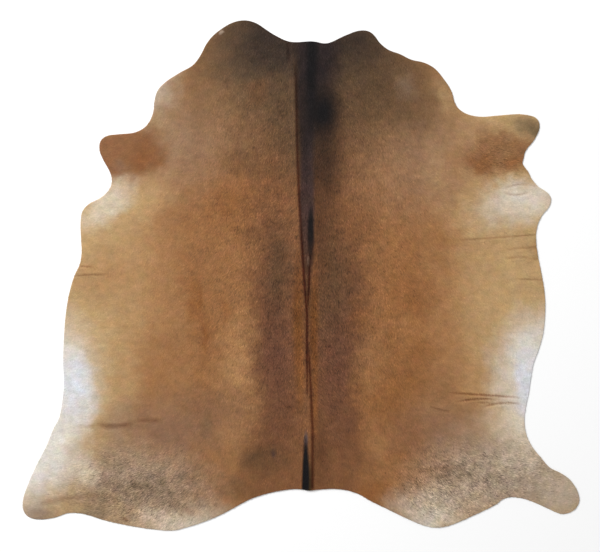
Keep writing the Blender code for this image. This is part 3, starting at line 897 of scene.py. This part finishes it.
class Skin:
    """The skin's mesh and what the coat needs to grow on it."""

    def __init__(self, node):
        solid = merged_copy(node)
        tree = BVHTree.FromBMesh(solid)
        ring = clockwise(smooth_loop(widest_ring(solid)))
        solid.free()
        loop = evenly_spaced(ring, RIM_STEP)
        self.cut = loop + inward(loop) * HAIR_REACH
        self.edge = Edge(self.cut)
        self.piece = self.build(tree)
        self.grid_heights()

    def build(self, tree):
        cut = self.cut
        into = inward(cut)
        crown = cut - into * RIM_ROWS[-1].out
        points = laid_out_points(crown, self.edge)
        triangles = triangles_over(crown, points)
        places = np.vstack([crown, points])
        inner = np.vstack([cut + into * RIM_HEIGHT_INSET, points])
        top = heights(tree, inner, True)
        foot = heights(tree, inner, False)
        near_fold = ease((foot - FOLD_FOOT) / FOLD_RISE)
        top = smoothed(top, triangles, SMOOTHING_ROUNDS, FOLD_FIRMNESS * near_fold)
        foot = smoothed(foot, triangles, SMOOTHING_ROUNDS, FOLD_FIRMNESS * near_fold)
        settled = ease(self.edge.depth(places) / RIPPLE_RIM)
        wave = ripples(places) * RIPPLE * MM * settled
        top = top - HAIR_DEPTH - groove(places) + wave
        foot = np.minimum(foot, top - THINNEST)
        mesh = self.mesh(cut, into, places, triangles, top, foot)
        return placed("hide_skin", mesh)

    def mesh(self, cut, into, places, triangles, top, foot):
        """Top, underside and rounded rim as one closed mesh."""
        count = len(cut)
        rim_top, rim_foot = top[:count], foot[:count]
        vertices = [np.column_stack([places, top])]
        below_start = len(places)
        below = np.column_stack([places, foot])
        below[:count, :2] = cut
        vertices.append(below)
        rows = [np.arange(count) + below_start]
        start = 2 * below_start
        for row in RIM_ROWS[1:-1]:
            level = rim_foot + (rim_top - rim_foot) * row.level
            vertices.append(np.column_stack([cut - into * row.out, level]))
            rows.append(np.arange(count) + start)
            start += count
        rows.append(np.arange(count))
        faces = [triangles, triangles[:, ::-1] + below_start]
        for lower, upper in zip(rows, rows[1:]):
            lower_next, upper_next = np.roll(lower, -1), np.roll(upper, -1)
            faces.append(np.column_stack([lower_next, lower, upper]))
            faces.append(np.column_stack([lower_next, upper, upper_next]))
        vertices = np.vstack(vertices)
        flesh_faces = len(triangles) + 2 * count
        mesh = bpy.data.meshes.new("hide_skin")
        mesh.from_pydata(vertices.tolist(), [], np.vstack(faces).tolist())
        index = np.zeros(len(mesh.polygons), np.int32)
        index[len(triangles):len(triangles) + flesh_faces] = 1
        mesh.materials.append(hair_ground())
        mesh.materials.append(flesh_side())
        mesh.polygons.foreach_set("material_index", index)
        mesh.polygons.foreach_set("use_smooth", np.ones(len(mesh.polygons), bool))
        # each point's painted shade from the creases and the long fold's lines
        fold = mesh.attributes.new("fold", "FLOAT", "POINT")
        fold.data.foreach_set("value", fold_shade(vertices[:, :2]).astype(np.float32))
        mesh.update()
        return mesh

    def grid_heights(self):
        """The skin's top as heights on a square grid."""
        mesh = self.piece.data
        tree = BVHTree.FromPolygons(
            [v.co for v in mesh.vertices], [p.vertices for p in mesh.polygons]
        )
        self.low = self.cut.min(axis=0) - GRID_MARGIN
        high = self.cut.max(axis=0) + GRID_MARGIN
        self.columns, self.rows = np.ceil((high - self.low) / GRID_STEP).astype(int) + 1
        x, y = np.meshgrid(np.arange(self.columns), np.arange(self.rows))
        spots = self.low + np.column_stack([x.ravel(), y.ravel()]) * GRID_STEP
        self.grid = heights(tree, spots, True).reshape(self.rows, self.columns)

    def height(self, points):
        """The skin's top under these points; nought outside it."""
        at = (points - self.low) / GRID_STEP
        column = np.clip(np.floor(at[:, 0]).astype(int), 0, self.columns - 2)
        row = np.clip(np.floor(at[:, 1]).astype(int), 0, self.rows - 2)
        u, v = at[:, 0] - column, at[:, 1] - row
        corners = [self.grid[row + j, column + i] for j in (0, 1) for i in (0, 1)]
        weights = [(1 - u) * (1 - v), u * (1 - v), (1 - u) * v, u * v]
        weights = [np.where(np.isnan(c), 0, w) for c, w in zip(corners, weights)]
        total = sum(w * np.nan_to_num(c) for c, w in zip(corners, weights))
        return total / np.maximum(sum(weights), 1e-6)

    def facing(self, points):
        """Which way the skin faces under these points."""
        rises = []
        for way in ((GRID_STEP, 0), (0, GRID_STEP)):
            rises.append((self.height(points - way) - self.height(points + way)) / (2 * GRID_STEP))
        return np.column_stack([*rises, np.ones(len(points))])


def hair_turn(place):
    """Which way the hair lies: degrees from straight back, clockwise seen from above."""
    total = np.zeros(len(place))
    weight = np.zeros(len(place))
    aside = np.abs(place[:, 0])
    for comb in LIE_OF_THE_HAIR:
        gap = (aside - comb.across) ** 2 + (place[:, 1] - comb.along) ** 2
        pull = 1 / (gap + COMB_REACH ** 2) ** 1.5
        total += pull * comb.turn
        weight += pull
    outward = total / weight
    across, along = place.T
    swirl = np.sin(across / 130 + 2 * np.sin(along / 190)) * np.cos(along / 110 + across / 300)
    side = np.tanh(across / PARTING)
    return outward * -side + SWIRL * swirl


def lock_contrast(place):
    """How much a lock's tone may differ from its neighbours'."""
    contrast = np.full(len(place), EVEN_CONTRAST)
    for mixed in MIXED_HAIR:
        aside = (place[:, 0] - mixed.across) / mixed.wide
        ahead = (place[:, 1] - mixed.along) / mixed.long
        reach = np.hypot(aside, ahead)
        contrast += mixed.contrast * ease(1 - reach)
    return contrast


def tufts(place, size, rng):
    """Clouds of about this size, in millimetres, that vary evenly around 0."""
    at = (place - place.min(axis=0)) / size
    column, row = np.floor(at).astype(int).T
    cloud = rng.normal(0, 1, (row.max() + 2, column.max() + 2))
    u, v = (at - np.column_stack([column, row])).T
    low = cloud[row, column] * (1 - u) + cloud[row, column + 1] * u
    high = cloud[row + 1, column] * (1 - u) + cloud[row + 1, column + 1] * u
    return low * (1 - v) + high * v


def lock_roots(skin, rng):
    """Where the locks grow: a shaken triangular lattice over the whole hide."""
    count = 4 * LOCKS_A_QUARTER
    pitch = math.sqrt(skin_area(skin.cut) / count / (math.sqrt(3) / 2)) * LATTICE_SLACK
    roots = lattice(skin.cut, pitch)
    roots = roots + rng.uniform(-ROOT_SHAKE, ROOT_SHAKE, roots.shape) * pitch
    depth = skin.edge.depth(roots)
    held = depth > ROOT_INSET
    return roots[held], depth[held]


def lock_marks(place, halfway, rng):
    """The tone, strand and painted fold shade of each lock's four corners."""
    count = len(place)
    contrast = lock_contrast(place)
    single = LOCK_TONE * rng.normal(0, 1, count)
    small = SMALL_TUFTS.strength * tufts(place, SMALL_TUFTS.size, rng)
    tone = 1 + contrast * (single + small)
    tone = tone + contrast * BROAD_TUFTS.strength * tufts(place, BROAD_TUFTS.size, rng)
    tones = []
    for _ in range(4):
        within = contrast * rng.normal(0, CORNER_TONE, count)
        tones.append(np.clip(tone + within, *TONE_LIMITS))
    start = rng.uniform(0, STRAND_RANGE, count)
    strands = [start, start - STRAND_SPAN, start, start + STRAND_SPAN]
    return {"tone": tones, "strand": strands, "fold": [fold_shade(halfway)] * 4}


def grow_locks(skin):
    """All locks: their corners, and each corner's tone, strand, painted fold shade and facing."""
    rng = np.random.default_rng(SEED)
    roots, depth = lock_roots(skin, rng)
    count = len(roots)
    place = on_hide(roots)
    turn = np.radians(hair_turn(place) + rng.normal(0, STRAY, count))
    way = np.column_stack([-np.sin(turn), -np.cos(turn)])
    side = np.column_stack([-way[:, 1], way[:, 0]])
    length = LOCK_LENGTH * (1 + LOCK_LENGTH_SPREAD * rng.uniform(-1, 1, count))
    width = LOCK_WIDTH * rng.uniform(*WIDTH_RANGE, count)
    near = depth < LOCK_LENGTH * 2
    tips = roots + way * length[:, None]
    tip_depth = np.full(count, 1.0)
    tip_depth[near] = skin.edge.depth(tips[near])
    allowed = OVERHANG * rng.uniform(*OVERHANG_RANGE, count)
    past = -tip_depth - allowed
    cut_back = np.where(past > 0, (depth + allowed) / (depth - tip_depth), 1)
    length = np.maximum(length * cut_back, SHORTEST_LOCK)
    tips = roots + way * length[:, None]
    middle = roots + way * (length * SHOULDER_AT)[:, None]
    left = middle + side * (width / 2)[:, None]
    right = middle - side * (width / 2)[:, None]
    lift = LOCK_LIFT * rng.uniform(*LIFT_RANGE, count)
    root_height = skin.height(roots)
    corners = [
        np.column_stack([roots, root_height - ROOT_DEPTH]),
        np.column_stack([left, np.minimum(skin.height(left), root_height + MM) + SHOULDER_LIFT]),
        np.column_stack([tips, skin.height(tips) + lift]),
        np.column_stack([right, np.minimum(skin.height(right), root_height + MM) + SHOULDER_LIFT]),
    ]
    ahead, one, other = (corners[k] - corners[0] for k in (2, 1, 3))
    hollow = (np.cross(other, one) * ahead).sum(axis=1) < 0
    corners[1][hollow], corners[3][hollow] = corners[3][hollow], corners[1][hollow].copy()
    marks = lock_marks(place, roots + way * (length * 0.5)[:, None], rng)
    up = skin.facing(middle)
    lean = np.column_stack([side, np.zeros(count)]) * LOCK_ROUNDNESS
    normals = [up, up + lean, up, up - lean]
    return corners, marks, normals, place


def coat_quarter(name, chosen, corners, marks, normals, material):
    """One quarter of the coat as a mesh of closed four-sided locks."""
    count = int(chosen.sum())
    points = np.stack([c[chosen] for c in corners], axis=1).reshape(-1, 3)
    first = np.arange(count) * 4
    root, left, tip, right = first, first + 1, first + 2, first + 3
    faces = np.concatenate([
        np.column_stack([root, tip, left]), np.column_stack([root, right, tip]),
        np.column_stack([root, left, right]), np.column_stack([tip, right, left]),
    ])
    mesh = bpy.data.meshes.new(name)
    mesh.from_pydata(points.tolist(), [], faces.tolist())
    mesh.polygons.foreach_set("use_smooth", np.ones(len(mesh.polygons), bool))
    for attribute, values in marks.items():
        held = np.stack([v[chosen] for v in values], axis=1).ravel()
        mark = mesh.attributes.new(attribute, "FLOAT", "POINT")
        mark.data.foreach_set("value", held.astype(np.float32))
    facing = np.stack([n[chosen] for n in normals], axis=1).reshape(-1, 3)
    facing /= np.linalg.norm(facing, axis=1)[:, None]
    mesh.normals_split_custom_set_from_vertices(facing.tolist())
    flat_map = mesh.uv_layers.new(name="OFBake")
    corner = np.zeros(len(mesh.loops), np.int32)
    mesh.loops.foreach_get("vertex_index", corner)
    low, high = points[:, :2].min(axis=0), points[:, :2].max(axis=0)
    on_map = (points[:, :2] - low) / (high - low).max() * MAP_SHARE + MAP_MARGIN
    flat_map.data.foreach_set("uv", on_map[corner].astype(np.float32).ravel())
    mesh.materials.append(material)
    mesh.update()
    return placed(name, mesh)


def grow_coat(skin):
    """The coat in four quarters: neck and rump, left and right of the backbone."""
    corners, marks, normals, place = grow_locks(skin)
    material = lying_hair()
    left = place[:, 0] < 0
    quarters = []
    for side_name, on_side in (("left", left), ("right", ~left)):
        middle = np.median(place[on_side, 1])
        front = place[:, 1] > middle
        for end_name, on_end in (("front", front), ("rear", ~front)):
            name = f"coat_{end_name}_{side_name}"
            chosen = on_side & on_end
            quarters.append(coat_quarter(name, chosen, corners, marks, normals, material))
    return quarters


def lay_floor():
    """A plain pale floor."""
    half = FLOOR_SIZE / 2
    corners = [(-half, -half), (half, -half), (half, half), (-half, half)]
    mesh = bpy.data.meshes.new("floor")
    mesh.from_pydata([(x, y, -FLOOR_DROP) for x, y in corners], [], [(0, 1, 2, 3)])
    recipe = Recipe("pale_floor")
    mesh.materials.append(recipe.finish(Base_Color=(0.95, 0.95, 0.95, 1), Roughness=0.9))
    floor = placed("floor", mesh)


def softbox(name, place, size, power):
    """A square studio light that faces the hide."""
    light = bpy.data.lights.new(name, "AREA")
    light.shape = "SQUARE"
    light.size = size
    light.energy = power
    lamp = placed(name, light)
    lamp.location = place
    lamp.rotation_euler = (-Vector(place)).to_track_quat("-Z", "Y").to_euler()


def light_studio():
    """Even light from all round and a soft key from the upper left."""
    world = bpy.data.worlds.new("studio")
    bpy.context.scene.world = world
    world.use_nodes = True
    backdrop = world.node_tree.nodes["Background"]
    backdrop.inputs["Color"].default_value = (1, 1, 1, 1)
    backdrop.inputs["Strength"].default_value = BACKDROP_STRENGTH
    softbox("key", KEY_PLACE, KEY_SIZE, KEY_POWER)
    bpy.context.scene.view_settings.view_transform = "Standard"


def set_up_camera():
    """Straight above the hide, its neck towards the top of the picture."""
    camera = bpy.data.cameras.new("camera")
    camera.lens = LENS
    camera.sensor_width = SENSOR
    eye = placed("camera", camera)
    x, y = in_world(VIEW_MIDDLE)[0]
    eye.location = (x, y, VIEW_WIDTH * LENS / SENSOR)
    bpy.context.scene.camera = eye


def main():
    set_up_camera()
    light_studio()
    lay_floor()
    skin = Skin(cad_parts["hide"])
    quarters = grow_coat(skin)
    for piece in [skin.piece, *quarters]:
        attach(piece, "root")
    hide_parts("hide")
    float(skin_area(skin.cut))


main()
